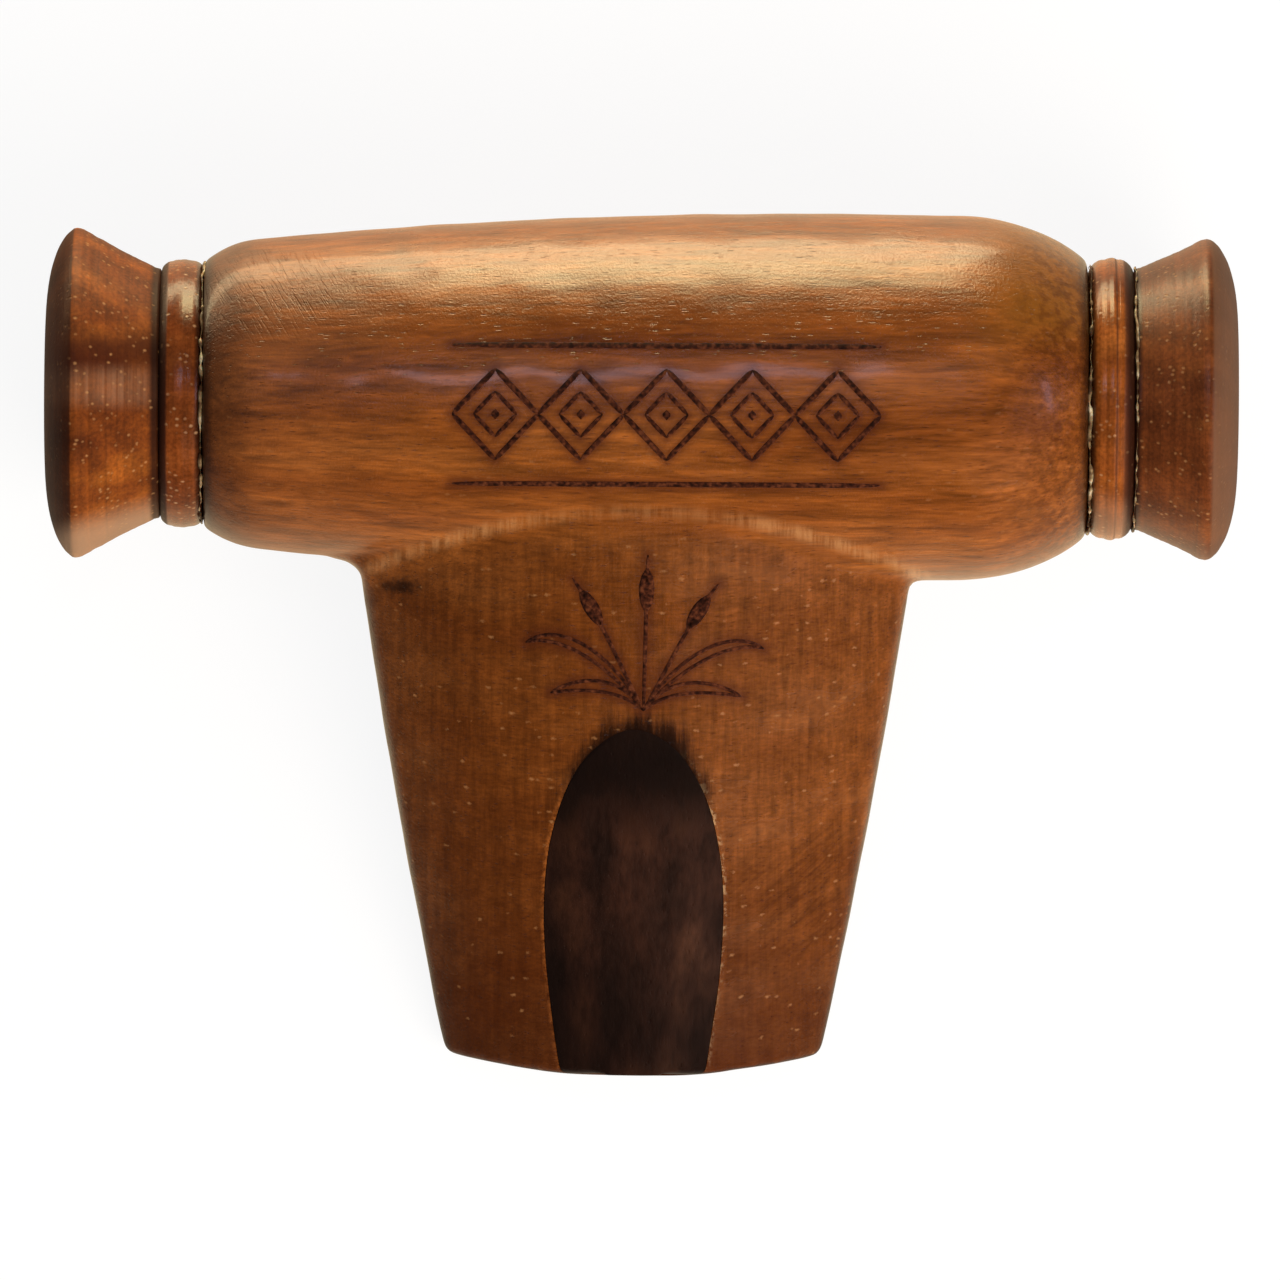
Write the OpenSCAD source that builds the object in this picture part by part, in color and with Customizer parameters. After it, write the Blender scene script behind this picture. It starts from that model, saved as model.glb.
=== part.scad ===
// A wooden T-shaped duck whistle: a turned barrel with a flat stem that is carved to a beak.
// It lies on its flat back. X runs along the barrel, +Y from the beak's tip to the barrel,
// and +Z up through the bevelled face. The origin is under the middle of the whole whistle.

/* [Barrel] */
// Length of the barrel between its two end faces
barrel_len = 70.6; // [64:0.2:90]
// Outside radius of the barrel at its fullest point
barrel_r = 14.7; // [14.4:0.1:18]
// How far the fullest point lies to the right of the barrel's middle
crown_offset = 14.4; // [6:0.2:18]
// Radius of the long curve along the barrel
crown_curve_r = 450; // [400:5:900]
// Radius of the rounded left shoulder
left_shoulder_r = 8; // [5:0.5:10]
// Radius of the rounded right shoulder
right_shoulder_r = 16; // [9:0.5:18]
// Outside radius of the left end face
left_face_r = 10.65; // [9.8:0.05:11]
// Outside radius of the right end face
right_face_r = 11; // [10.4:0.05:12]
// Radius of the bore through the barrel, which is the sound chamber
chamber_r = 7.94; // [7.4:0.02:8.4]
// How far the flat back lies behind the rims of the bells
back_clear = 0.1; // [0.05:0.05:0.5]

/* [Stem and beak] */
// Distance from the barrel's axis to the tip of the beak
reach = 54.6; // [50:0.2:65]
// Half width of the stem where it meets the barrel
root_half = 21.9; // [20:0.1:24]
// Half width of the beak at its tip
tip_half = 14.7; // [12.5:0.1:17]
// How far each side of the stem bows out from a straight line
side_bow = 0.35; // [0.2:0.05:1]
// Radius of the gentle curve across the tip
tip_curve_r = 62; // [40:1:120]
// Radius of the two corners of the tip
corner_r = 1.4; // [0.6:0.1:2.5]
// Radius of the corner between the stem and the barrel
root_fillet = 2.8; // [1.5:0.1:4]
// Height of the bevelled face above the barrel's axis, at the ridge on the barrel
ridge_height = 10.9; // [9.6:0.1:12]
// Thickness of the beak at its tip
tip_thickness = 7.3; // [6.8:0.1:9]
// Steepness of the bevel at its two ends, as a slope
bevel_end_slope = 0.25; // [0.1:0.01:0.34]
// Radius of the crown across the bevelled face
face_crown_r = 40; // [34:0.5:60]
// Rounding of the edges round the flat back
back_round = 1.2; // [0.4:0.1:2]
// How much the front edges of the stem are eased
front_ease = 0.5; // [0.4:0.1:2]

/* [Airway and window] */
// Radius of the hole in the stem that the airway block fills
plug_bore_r = 7.2; // [6.6:0.05:7.6]
// How far that hole's axis lies behind the barrel's axis
plug_set_back = 2.5; // [2:0.1:2.8]
// Depth of the airway behind the block's flat
airway_depth = 2; // [1.4:0.1:2.4]
// Distance below the barrel's axis at which the airway opens into the window
mouth_drop = 4; // [3.5:0.1:4.6]
// Height of the window, from the airway's mouth to the lip
window_height = 5.2; // [4.8:0.1:7]
// Slope of the ramp above the lip, measured from the back face
ramp_angle = 26; // [20:1:34]
// Thickness of the lip's edge
lip_edge = 0.4; // [0.2:0.05:0.8]

/* [Bead rings] */
// Width of the left bead ring along the barrel
left_ring_width = 3.45; // [3:0.05:5]
// Width of the right bead ring along the barrel
right_ring_width = 3.7; // [3:0.05:5]
// Outside radius of the left bead ring
left_ring_r = 10.65; // [10.4:0.05:12]
// Outside radius of the right bead ring
right_ring_r = 11.3; // [10.8:0.05:12]
// Rounding of the edges of the left ring
left_ring_round = 0.9; // [0.4:0.1:1.4]
// Rounding of the edges of the right ring
right_ring_round = 1.4; // [0.4:0.1:1.4]

/* [End bells] */
// Radius of the left neck groove
left_neck_r = 10.05; // [9.4:0.05:10.3]
// Radius of the right neck groove
right_neck_r = 10.5; // [9.6:0.05:10.7]
// Width of a neck groove, where a lanyard loop sits
neck_width = 0.5; // [0.4:0.1:1.5]
// Length of the left flaring cone
left_cone_len = 6.2; // [4:0.1:8]
// Length of the right flaring cone
right_cone_len = 5.3; // [4:0.1:8]
// Radius of the left rim
left_rim_r = 13.25; // [12:0.05:13.7]
// Radius of the right rim
right_rim_r = 12.9; // [12:0.05:13.7]
// Rounding of a rim's edge
rim_round = 0.3; // [0.2:0.05:0.5]
// Length of the domed face in front of a rim
dome_len = 2.5; // [1.8:0.1:3.5]
// Radius of the flat in the middle of the domed face
face_flat_r = 6; // [5:0.1:8]
// Radius of the tone hole through a bell
tone_hole_r = 3.2; // [2.6:0.05:4]
// Chamfer at the mouth of a tone hole
mouth_chamfer = 0.8; // [0.3:0.1:0.9]
// Depth to which a bell's tenon enters the barrel
tenon_depth = 20; // [12:0.5:23]
// Chamfer at the inner end of a tenon
tenon_chamfer = 0.8; // [0.3:0.1:1.2]

/* [Pea and fits] */
// Radius of the cork pea
pea_r = 5; // [4.6:0.05:5.4]
// Free play between the pea and the chamber's wall
pea_play = 0.25; // [0.15:0.05:0.4]
// Glue line round a piece that fills a hole
glue_gap = 0.05; // [0.02:0.01:0.1]

/* [Hidden] */
$fn = 96;

// The whistle's length, and where the barrel lies in it.
left_stack = left_ring_width + neck_width + left_cone_len + dome_len;
right_stack = right_ring_width + neck_width + right_cone_len + dome_len;
barrel_half = barrel_len / 2;
barrel_x = (left_stack - right_stack) / 2;
// The stem stands a little to the left of the barrel's middle.
stem_offset_share = -0.02;
stem_x = barrel_x + barrel_half * stem_offset_share;

// The flat back lies at height 0, clear of the bells, and takes a strip off the barrel.
axis_z = max(left_rim_r, right_rim_r) + back_clear;
axis_y = (reach - barrel_r) / 2;
tip_y = axis_y - reach;
plug_z = axis_z - plug_set_back;

tenon_r = chamber_r - glue_gap;
block_r = plug_bore_r - glue_gap;
overrun = barrel_r;

// The flat of the block, and the airway's rear wall and half width.
flat_z = plug_z - plug_bore_r + airway_depth;
airway_half = sqrt(plug_bore_r * plug_bore_r - pow(plug_bore_r - airway_depth, 2));
mouth_y = axis_y - mouth_drop;
lip_y = mouth_y + window_height;
lip_top_z = axis_z - sqrt(chamber_r * chamber_r - pow(lip_y - axis_y, 2));

arc_steps = 8;
bevel_steps = 12;
// Facets of a circle as wide as the long curves of the stem's sides, for previews only.
long_curve_sides = 360;

// Points on an arc from one angle to another, round a centre.
function arc(centre, r, from, to, steps = arc_steps) =
    [for (i = [0:steps]) let (a = from + (to - from) * i / steps)
        centre + r * [cos(a), sin(a)]];

// The angle of a vector.
function heading(v) = atan2(v[1], v[0]);

// The arc that rounds the corner at b of the path a, b, c.
function rounded(a, b, c, r) =
    let (u = (a - b) / norm(a - b), v = (c - b) / norm(c - b),
         half = acos(u * v) / 2,
         centre = b + (u + v) / norm(u + v) * r / sin(half),
         start = heading(b + u * r / tan(half) - centre),
         turn = heading(b + v * r / tan(half) - centre) - start)
    arc(centre, r, start, start + (turn > 180 ? turn - 360 : turn < -180 ? turn + 360 : turn));

// The list of points in the other order.
function reversed(points) = [for (i = [len(points) - 1:-1:0]) points[i]];

// Centre of the barrel's long curve, as a distance along the barrel and a radius.
crown_centre = [crown_offset, barrel_r - crown_curve_r];

// Radius of the barrel's long curve at a distance along it.
function barrel_surface(x) =
    crown_centre[1] + sqrt(crown_curve_r * crown_curve_r - pow(x - crown_offset, 2));

// A shoulder's arc passes through the rim of its end face and runs smoothly into the long
// curve: its centre lies at shoulder_r from the one and at the rest of the curve's radius
// from the other. side is -1 at the left end and 1 at the right.
function shoulder_centre(side, shoulder_r, face_r) =
    let (rim = [side * barrel_half, face_r],
         between = norm(rim - crown_centre),
         inner = crown_curve_r - shoulder_r,
         along = (inner * inner - shoulder_r * shoulder_r + between * between) / (2 * between),
         off = sqrt(inner * inner - along * along),
         u = (rim - crown_centre) / between)
    crown_centre + along * u + off * side * [-u[1], u[0]];

function shoulder(side, shoulder_r, face_r) =
    let (centre = shoulder_centre(side, shoulder_r, face_r))
    arc(centre, shoulder_r, heading([side * barrel_half, face_r] - centre),
        heading(centre - crown_centre));

// Where a shoulder meets the long curve, as an angle round the curve's centre.
function crown_angle(side, shoulder_r, face_r) =
    heading(shoulder_centre(side, shoulder_r, face_r) - crown_centre);

// The bevelled face runs from the ridge on the barrel down to the tip.
ridge_z = axis_z + ridge_height;
ridge_y = axis_y - sqrt(pow(barrel_surface(stem_x - barrel_x), 2) - pow(ridge_height, 2));
bevel_len = ridge_y - tip_y;
bevel_drop = ridge_z - tip_thickness;

// Height of the bevelled face at a distance y: a cubic that leaves both ends at the same slope.
function bevel_z(y) =
    let (t = (ridge_y - y) / bevel_len)
    ridge_z - bevel_drop * (3 * t * t - 2 * t * t * t)
    - bevel_end_slope * bevel_len * (2 * t * t * t - 3 * t * t + t);

// The crown across the face is turned about an axis this far behind the ridge's top.
crown_axis_z = ridge_z - face_crown_r;
function crown_radius(y) = bevel_z(y) - crown_axis_z;

// The side of the stem is an arc of this radius, round a centre on the other side.
root_y = axis_y - barrel_r;
side_rise = [root_half - tip_half, root_y - tip_y];
side_chord = norm(side_rise);
side_curve_r = side_chord * side_chord / (8 * side_bow) + side_bow / 2;
side_middle = [(root_half + tip_half) / 2, (root_y + tip_y) / 2];
side_centre = side_middle
    - (side_curve_r - side_bow) * [side_rise[1], -side_rise[0]] / side_chord;

// Half width of the stem at a distance y.
function stem_half(y) =
    side_centre[0] + sqrt(side_curve_r * side_curve_r - pow(y - side_centre[1], 2));

// Height of the crowned face at the stem's edge, at a distance y.
function edge_z(y) =
    crown_axis_z + sqrt(pow(crown_radius(y), 2) - pow(stem_half(y), 2));

// Distances along the bevel, from the tip to the ridge.
bevel_ys = [for (i = [0:bevel_steps]) tip_y + (ridge_y - tip_y) * i / bevel_steps];

// Turns a profile of [distance, radius] points about the barrel's axis.
module turned(profile) {
    translate([barrel_x, axis_y, axis_z])
        rotate([0, 90, 0])
            rotate_extrude()
                polygon([for (p = profile) [p[1], p[0]]]);
}

// Turns a profile of [y, radius] points about the stem's centre line, at height z.
module turned_along_stem(profile, z) {
    translate([stem_x, 0, z])
        rotate([-90, 0, 0])
            rotate_extrude()
                polygon([for (p = profile) [p[1], p[0]]]);
}

module barrel() {
    turned(concat(
        [[barrel_half, 0], [-barrel_half, 0]],
        shoulder(-1, left_shoulder_r, left_face_r),
        arc(crown_centre, crown_curve_r,
            crown_angle(-1, left_shoulder_r, left_face_r),
            crown_angle(1, right_shoulder_r, right_face_r)),
        reversed(shoulder(1, right_shoulder_r, right_face_r))));
}

// Everything behind the bevelled face, which is crowned from side to side.
module behind_bevel() {
    turned_along_stem(concat(
        [[tip_y - overrun, 0], [tip_y - overrun, crown_radius(tip_y)]],
        [for (y = bevel_ys) [y, crown_radius(y)]],
        [[axis_y, crown_radius(ridge_y)], [axis_y, 0]]), crown_axis_z);
}

// Everything inside the eased front edges: turned about the back face's centre line, so
// that it bites only where the crowned face meets the stem's sides.
module inside_ease() {
    function ease_radius(y) = norm([stem_half(y), edge_z(y) - front_ease]);
    turned_along_stem(concat(
        [[tip_y - overrun, 0], [tip_y - overrun, ease_radius(tip_y)]],
        [for (y = bevel_ys) [y, ease_radius(y)]],
        [[axis_y, ease_radius(ridge_y)], [axis_y, 0]]), 0);
}

// A wide disc with its lower edge rounded. Its rim is one side of the stem.
module rounded_disc(centre, r) {
    translate([stem_x + centre[0], centre[1], 0])
        rotate_extrude($fn = long_curve_sides)
            polygon(concat(
                [[0, 0]],
                arc([r - back_round, back_round], back_round, -90, 0),
                [[r, ridge_z + overrun], [0, ridge_z + overrun]]));
}

// The plan of the beak with its two rounded corners.
module beak_plan() {
    tip_drop = tip_curve_r - sqrt(tip_curve_r * tip_curve_r - tip_half * tip_half);
    corner = [stem_half(tip_y + tip_drop), tip_y + tip_drop];
    below = [0, tip_y + tip_drop - corner[0] * tip_half / tip_curve_r];
    above = [stem_half(tip_y + reach / 2), tip_y + reach / 2];
    right = concat([below], rounded(below, corner, above, corner_r),
                   [[above[0] + overrun, above[1]], [root_half + overrun, axis_y]]);
    left = [for (p = reversed(right)) [-p[0], p[1]]];
    translate([stem_x, 0, -overrun])
        linear_extrude(ridge_z + 2 * overrun)
            polygon(concat(right, left));
}

// The outer form of stem and beak, from inside the barrel to the tip.
module stem() {
    intersection() {
        rounded_disc(side_centre, side_curve_r);
        rounded_disc([-side_centre[0], side_centre[1]], side_curve_r);
        rounded_disc([0, tip_y + tip_curve_r], tip_curve_r);
        beak_plan();
        inside_ease();
        behind_bevel();
    }
}

// The hollow corner between the stem's side and the barrel, as a lathe leaves it: turned
// about the barrel's axis, and kept within the thickness of the stem.
module root_corner(side) {
    x = stem_x - barrel_x + side * root_half;
    r = barrel_surface(x);
    corner = [x, r];
    down = [x - side * side_rise[0], r + side_rise[1]];
    out = [x + side * barrel_half, barrel_surface(x)];
    inward = [-side * root_fillet, -root_fillet];
    curve = rounded(down, corner, out, root_fillet);
    intersection() {
        turned(concat([[curve[0][0] + inward[0], curve[0][1]]], curve,
                      [[curve[arc_steps][0], r + inward[1]],
                       [curve[0][0] + inward[0], r + inward[1]]]));
        behind_bevel();
        translate([stem_x - 2 * root_half, tip_y, 0])
            cube([4 * root_half, axis_y - tip_y, ridge_z]);
    }
}

module chamber() {
    translate([barrel_x - barrel_half - overrun, axis_y, axis_z])
        rotate([0, 90, 0])
            cylinder(r = chamber_r, h = barrel_len + 2 * overrun);
}

// The hole drilled up the stem from the tip, which ends at the airway's mouth.
module plug_bore(r) {
    translate([stem_x, mouth_y, plug_z])
        rotate([90, 0, 0])
            cylinder(r = r, h = reach + overrun);
}

// The sound window in the back of the barrel, with the ramp that rises from the lip.
module window() {
    run = axis_z + overrun;
    lip_z = lip_top_z - lip_edge;
    translate([stem_x - airway_half, 0, 0])
        rotate([90, 0, 90])
            linear_extrude(2 * airway_half)
                polygon([[mouth_y, flat_z], [mouth_y, -overrun],
                         [lip_y + run / tan(ramp_angle), lip_z - run],
                         [lip_y, lip_z], [lip_y, lip_top_z + lip_edge],
                         [mouth_y, lip_top_z + lip_edge]]);
}

// Everything behind the flat back.
module below_back() {
    translate([-barrel_len, tip_y - overrun, -overrun])
        cube([2 * barrel_len, 2 * reach, overrun]);
}

module tee_body() {
    color("#8a4a1e")
        difference() {
            union() {
                barrel();
                stem();
                root_corner(-1);
                root_corner(1);
            }
            chamber();
            plug_bore(plug_bore_r);
            window();
            below_back();
        }
}

// The dark block in the stem's bore. It is flat behind for the airway, bevelled with the
// beak, and hollowed at its inner end to the curve of the chamber.
module airway_block() {
    color("#33190f")
        difference() {
            intersection() {
                plug_bore(block_r);
                rounded_disc([0, tip_y + tip_curve_r], tip_curve_r);
                behind_bevel();
            }
            chamber();
            translate([stem_x - plug_bore_r, tip_y - overrun, -overrun])
                cube([2 * plug_bore_r, reach + overrun, flat_z + overrun]);
        }
}

// A bead ring between the barrel's end face and a bell; side -1 mirrors it to the left.
module bead_ring(side, width, r, edge_round) {
    a = [barrel_half, r];
    b = [barrel_half + width, r];
    inner = [barrel_half, chamber_r];
    outer = [barrel_half + width, chamber_r];
    profile = concat([inner], rounded(inner, a, b, edge_round),
                     rounded(a, b, outer, edge_round), [outer]);
    turned([for (p = profile) [side * p[0], p[1]]]);
}

module left_bead_ring() {
    color("#9a4c20")
        bead_ring(-1, left_ring_width, left_ring_r, left_ring_round);
}

module right_bead_ring() {
    color("#9a4c20")
        bead_ring(1, right_ring_width, right_ring_r, right_ring_round);
}

// An end bell: tenon, neck groove, flaring cone, rim, domed face and tone hole.
module end_bell(side, ring_width, neck_r, cone_len, rim_r) {
    tenon_end = barrel_half - tenon_depth;
    ring_end = barrel_half + ring_width;
    neck_end = [ring_end + neck_width, neck_r];
    rim = [neck_end[0] + cone_len, rim_r];
    after_rim = [rim[0] + dome_len, rim_r];
    dome = [for (i = [1:arc_steps]) let (a = 90 * i / arc_steps)
        [rim[0] + rim_round + (dome_len - rim_round) * sin(a),
         face_flat_r + (rim_r - face_flat_r) * cos(a)]];
    bell_end = rim[0] + dome_len;
    profile = concat(
        [[tenon_end, tone_hole_r],
         [tenon_end, tenon_r - tenon_chamfer],
         [tenon_end + tenon_chamfer, tenon_r],
         [ring_end, tenon_r],
         [ring_end, neck_r],
         neck_end],
        rounded(neck_end, rim, after_rim, rim_round),
        dome,
        [[bell_end, tone_hole_r + mouth_chamfer],
         [bell_end - mouth_chamfer, tone_hole_r]]);
    turned([for (p = profile) [side * p[0], p[1]]]);
}

module left_end_bell() {
    color("#7c3a1c")
        end_bell(-1, left_ring_width, left_neck_r, left_cone_len, left_rim_r);
}

module right_end_bell() {
    color("#7c3a1c")
        end_bell(1, right_ring_width, right_neck_r, right_cone_len, right_rim_r);
}

// The pea lies at the lowest place in the chamber.
module cork_pea() {
    color("#c89a64")
        translate([stem_x, axis_y, axis_z - chamber_r + pea_r + pea_play])
            sphere(r = pea_r);
}

tee_body();
airway_block();
left_bead_ring();
right_bead_ring();
left_end_bell();
right_end_bell();
cork_pea();
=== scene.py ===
"""A T-shaped wooden duck whistle, dressed for its photograph: sanded and oiled hardwood body,
dark airway block, turned bead rings and end bells with traces of glue, and a cork pea."""

import math
from types import SimpleNamespace

import bmesh
import bpy
import numpy as np
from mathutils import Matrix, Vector
from mathutils.bvhtree import BVHTree


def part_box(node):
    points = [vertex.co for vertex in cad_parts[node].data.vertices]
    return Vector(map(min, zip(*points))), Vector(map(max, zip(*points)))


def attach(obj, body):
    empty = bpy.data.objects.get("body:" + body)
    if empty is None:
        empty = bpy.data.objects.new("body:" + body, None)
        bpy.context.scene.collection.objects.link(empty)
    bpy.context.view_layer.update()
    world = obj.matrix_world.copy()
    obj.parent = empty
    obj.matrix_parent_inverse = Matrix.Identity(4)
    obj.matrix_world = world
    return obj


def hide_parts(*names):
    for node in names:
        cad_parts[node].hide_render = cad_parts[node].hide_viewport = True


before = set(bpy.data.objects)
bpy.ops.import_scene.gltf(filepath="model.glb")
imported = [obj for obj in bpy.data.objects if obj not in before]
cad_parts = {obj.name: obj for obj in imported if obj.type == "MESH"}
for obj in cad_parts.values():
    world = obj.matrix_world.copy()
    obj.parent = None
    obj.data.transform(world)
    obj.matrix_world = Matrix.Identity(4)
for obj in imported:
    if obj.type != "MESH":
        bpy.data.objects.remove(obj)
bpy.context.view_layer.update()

MM = 0.001

# Main places of the whistle, in millimetres, as the CAD model has them.
BARREL_X = 0.325
BARREL_HALF = 35.3
AXIS_Y = 19.95
AXIS_Z = 13.35
BARREL_R = 14.4
STEM_X = -0.381
CHAMBER_R = 7.94
TENON_R = 7.89
TENON_DEPTH = 20.0
TONE_HOLE_R = 3.2
MOUTH_Y = 15.95
BORE_R = 7.2
BLOCK_R = 7.15
PLUG_Z = 10.85
BLOCK_FLAT_Z = 5.65
AIRWAY_HALF = 4.983
WINDOW_TOP_Z = 5.9
LIP_Y = 21.15
LIP_Z = 5.1
RAMP_ANGLE = 26.0
TIP_Y = -34.65
TIP_CURVE_R = 62.0
RIDGE_Y = 10.469
RIDGE_Z = 24.25
BEVEL_DROP = 16.95
BEVEL_SLOPE = 0.25
FACE_CROWN_R = 40.0
PEA_R = 4.98

# Each end has its own bead ring and bell. Sizes in millimetres, and side is its sign along X.
ENDS = {
    "left": SimpleNamespace(side=-1, ring_width=3.45, ring_r=10.6, ring_edge=0.9,
                            neck_r=10.05, cone_len=6.2, rim_r=13.22),
    "right": SimpleNamespace(side=1, ring_width=3.7, ring_r=11.2, ring_edge=1.4,
                             neck_r=10.5, cone_len=5.3, rim_r=12.87),
}

# Tools reach past what they cut, to 60 mm from the middle.
PAST_ALL = 60.0
# Points round everything that is turned.
AROUND = 256
# Edges of the body and the block that turn by more degrees than this stay sharp.
SHARP_ANGLE = 42.0
# How deep the lathe's tool has left its ripple, in millimetres.
RING_RIPPLE = 0.02
BELL_RIPPLE = 0.025
# Sockets of a Mix node: its factor, and the two values of a colour mix and of a number mix.
FACTOR = 0
FIRST, SECOND = 6, 7
LOW, HIGH = 2, 3


# Shader nodes.

def linear(hex_colour):
    """sRGB hex to linear RGBA: each channel c becomes ((c + 0.055) / 1.055) ** 2.4, or
    c / 12.92 below 0.04045."""
    channels = [int(hex_colour[i:i + 2], 16) / 255 for i in (1, 3, 5)]
    return [c / 12.92 if c <= 0.04045 else ((c + 0.055) / 1.055) ** 2.4
            for c in channels] + [1.0]


def put(tree, kind, inputs=(), stops=(), **settings):
    """Adds one node. settings are its own properties, and inputs maps a socket's name or number
    to a value, an output or a node, which stands for the first of its outputs that is in use.
    stops are a colour ramp's places and colours."""
    node = tree.nodes.new(kind)
    for name, value in settings.items():
        setattr(node, name, value)
    for socket, value in dict(inputs).items():
        if isinstance(value, bpy.types.Node):
            value = next(output for output in value.outputs if output.enabled)
        if isinstance(value, bpy.types.NodeSocket):
            tree.links.new(value, node.inputs[socket])
        else:
            node.inputs[socket].default_value = value
    for number, (place, colour) in enumerate(stops):
        elements = node.color_ramp.elements
        if number >= len(elements):
            elements.new(place)
        elements[number].position = place
        elements[number].color = linear(colour)
    return node


def maths(tree, operation, *values):
    """What a Math node makes of the values."""
    return put(tree, "ShaderNodeMath", dict(enumerate(values)), operation=operation)


def product(tree, value, *factors):
    """The value times each of the factors."""
    for factor in factors:
        value = maths(tree, "MULTIPLY", value, factor)
    return value


def vectors(tree, operation, *values):
    """What a Vector Math node makes of the values."""
    return put(tree, "ShaderNodeVectorMath", dict(enumerate(values)), operation=operation)


def xyz_of(tree, vector):
    """The three coordinates of a vector."""
    return put(tree, "ShaderNodeSeparateXYZ", {"Vector": vector}).outputs


def ramp(tree, value, start, end, low=0.0, high=1.0, kind="LINEAR"):
    """Goes from low to high while the value goes from start to end, and no further."""
    return put(tree, "ShaderNodeMapRange", {
        "Value": value, "From Min": start, "From Max": end, "To Min": low, "To Max": high},
        interpolation_type=kind)


def eased(tree, value, start, end, low, high):
    """The same, with soft ends: (3 - 2 t) t^2 in place of t."""
    return ramp(tree, value, start, end, low, high, "SMOOTHSTEP")


def between(tree, share, low, high):
    """A number that goes from low to high with the share."""
    return put(tree, "ShaderNodeMix", {FACTOR: share, LOW: low, HIGH: high},
               data_type="FLOAT")


def painted(tree, colour, layers):
    """A colour with layers over it, each given as its share and its own sRGB colour."""
    for share, over in layers:
        colour = put(tree, "ShaderNodeMix", {
            FACTOR: share, FIRST: colour, SECOND: linear(over)}, data_type="RGBA")
    return colour


def shaded(tree, value, stops, grain):
    """The colour that stops give the value, made lighter or darker by the grain."""
    tone = put(tree, "ShaderNodeValToRGB", {"Fac": value}, stops=stops)
    return put(tree, "ShaderNodeVectorMath", {0: tone, "Scale": grain}, operation="SCALE")


def noise(tree, place, scale, detail=2.0, roughness=0.5, distortion=0.0):
    """Cloudy noise, of scale waves a metre."""
    return put(tree, "ShaderNodeTexNoise", {
        "Vector": place, "Scale": scale, "Detail": detail, "Roughness": roughness,
        "Distortion": distortion})


def new_material(name):
    """An empty node material, and the output that gives a point's Object coordinates."""
    material = bpy.data.materials.new(name)
    material.use_nodes = True
    tree = material.node_tree
    tree.nodes.clear()
    return material, tree, put(tree, "ShaderNodeTexCoord").outputs["Object"]


# Shapes.

def new_piece(name, mesh, material, body, replaced=()):
    """A finished piece: shaded smooth, at the origin, riding on its CAD body."""
    piece = bpy.data.objects.new(name, mesh)
    bpy.context.scene.collection.objects.link(piece)
    mesh.materials.clear()
    mesh.materials.append(material)
    mesh.polygons.foreach_set("use_smooth", np.ones(len(mesh.polygons), bool))
    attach(piece, body)
    if replaced:
        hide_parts(*replaced)
    return piece


def merged_copy(node):
    """A copy of a CAD node's mesh with its loose triangles joined at their corners."""
    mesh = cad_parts[node].data.copy()
    work = bmesh.new()
    work.from_mesh(mesh)
    bmesh.ops.remove_doubles(work, verts=work.verts, dist=0.002 * MM)
    work.to_mesh(mesh)
    work.free()
    return mesh


def worked(meshes, steps):
    """The meshes joined in one and put through modifiers: steps are a modifier's type and its
    settings, and a mesh in the settings becomes a tool of its own."""
    objects = [bpy.data.objects.new("blank", mesh) for mesh in meshes]
    blank = objects[0]
    work = bmesh.new()
    for mesh in meshes:
        work.from_mesh(mesh)
    work.to_mesh(blank.data)
    work.free()
    bpy.context.scene.collection.objects.link(blank)
    for kind, settings in steps:
        modifier = blank.modifiers.new(kind, kind)
        for name, value in settings.items():
            if isinstance(value, bpy.types.Mesh):
                value = bpy.data.objects.new("tool", value)
                bpy.context.scene.collection.objects.link(value)
                objects.append(value)
            setattr(modifier, name, value)
    depsgraph = bpy.context.evaluated_depsgraph_get()
    result = bpy.data.meshes.new_from_object(blank.evaluated_get(depsgraph))
    for item in objects:
        bpy.data.objects.remove(item)
    return result


def cut(operation, tool):
    """A Boolean step with that tool."""
    return ("BOOLEAN", {"operation": operation, "solver": "MANIFOLD", "object": tool})


def points_of(mesh):
    """The mesh's points as an array of n by 3, in millimetres."""
    flat = np.empty(len(mesh.vertices) * 3, np.float32)
    mesh.vertices.foreach_get("co", flat)
    return flat.reshape(-1, 3).astype(float) / MM


def waves(seed, count, longest):
    """A smooth random function of one number: count sines, the k-th with a period of
    longest / k, random phases, and heights that fall as 1 / sqrt(k)."""
    phases = np.random.default_rng(seed).uniform(0, 2 * math.pi, count)
    orders = np.arange(1, count + 1)

    def value(t):
        t = np.asarray(t, float)[..., None]
        parts = np.sin(2 * math.pi * orders * t / longest + phases) / np.sqrt(orders)
        return parts.sum(-1) / np.sqrt((1 / orders).sum())

    return value


def grid_faces(rows, columns, closed_rows=False):
    """Quads over a grid of points that closes round its columns, and also round its rows
    where closed_rows is true."""
    last = rows if closed_rows else rows - 1
    i, j = np.meshgrid(np.arange(last), np.arange(columns), indexing="ij")
    next_i, next_j = (i + 1) % rows, (j + 1) % columns
    corners = [i * columns + j, i * columns + next_j,
               next_i * columns + next_j, next_i * columns + j]
    return np.stack(corners, -1).reshape(-1, 4)


def capped_faces(rows, columns):
    """Quads over a tube of rows by columns points, and a face that closes each end."""
    last = (rows - 1) * columns
    ends = [list(range(columns)), list(range(last, last + columns))]
    return grid_faces(rows, columns).tolist() + ends


def surface_mesh(name, points, faces):
    """A mesh from points in millimetres and faces, which are turned outwards."""
    mesh = bpy.data.meshes.new(name)
    mesh.from_pydata((points.reshape(-1, 3) * MM).tolist(), [], faces)
    work = bmesh.new()
    work.from_mesh(mesh)
    bmesh.ops.recalc_face_normals(work, faces=work.faces)
    work.to_mesh(mesh)
    work.free()
    return mesh


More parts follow.
